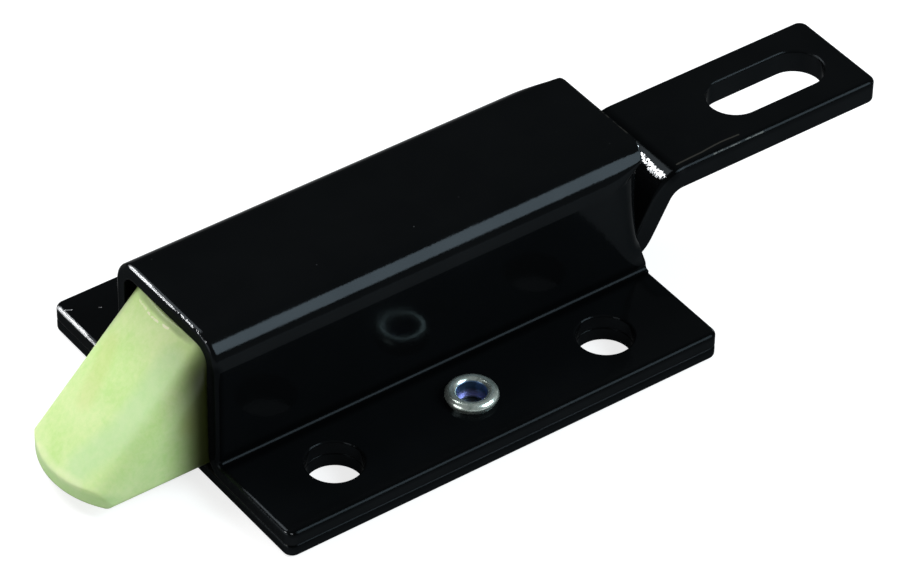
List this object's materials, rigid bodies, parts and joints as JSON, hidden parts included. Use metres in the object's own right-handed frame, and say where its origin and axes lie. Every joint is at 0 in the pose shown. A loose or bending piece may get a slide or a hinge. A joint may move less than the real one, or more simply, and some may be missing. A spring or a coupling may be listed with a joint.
{
  "type": "spring-loaded slide bolt door latch",
  "caption": "Surface-mounted spring latch: folded steel housing on a base plate, ramped nylon bolt, and a slotted steel pull strap.",
  "frame": {"origin": "centre of the four screw holes on the underside of the base plate", "axes": "+X the way the bolt springs out, +Y across the plate, +Z away from the mounting surface"},
  "size_m": [0.1176, 0.0508, 0.0219],
  "materials": {
    "painted_steel": "gloss black paint on steel, slightly rough, chipped at a few edges",
    "zinc_rivet": "bright zinc plating",
    "nylon": "natural nylon, pale green, satin, lightly scuffed",
    "steel_pin": "plain steel",
    "spring_steel": "zinc-plated spring wire"
  },
  "bodies": {
    "case": {"housing": "painted_steel", "base_plate": "painted_steel", "rivet_left": "zinc_rivet", "rivet_right": "zinc_rivet", "return_spring": "spring_steel"},
    "slider": {"latch_bolt": "nylon", "strap": "painted_steel", "drive_pin": "steel_pin"}
  },
  "joints": [
    {"name": "bolt_slide", "type": "slide", "parent": "case", "child": "slider", "axis": [-1, 0, 0], "range_m": [0, 0.016], "stiffness_N_per_m": 1000, "springref_m": -0.005, "deforming": ["return_spring"]}
  ]
}
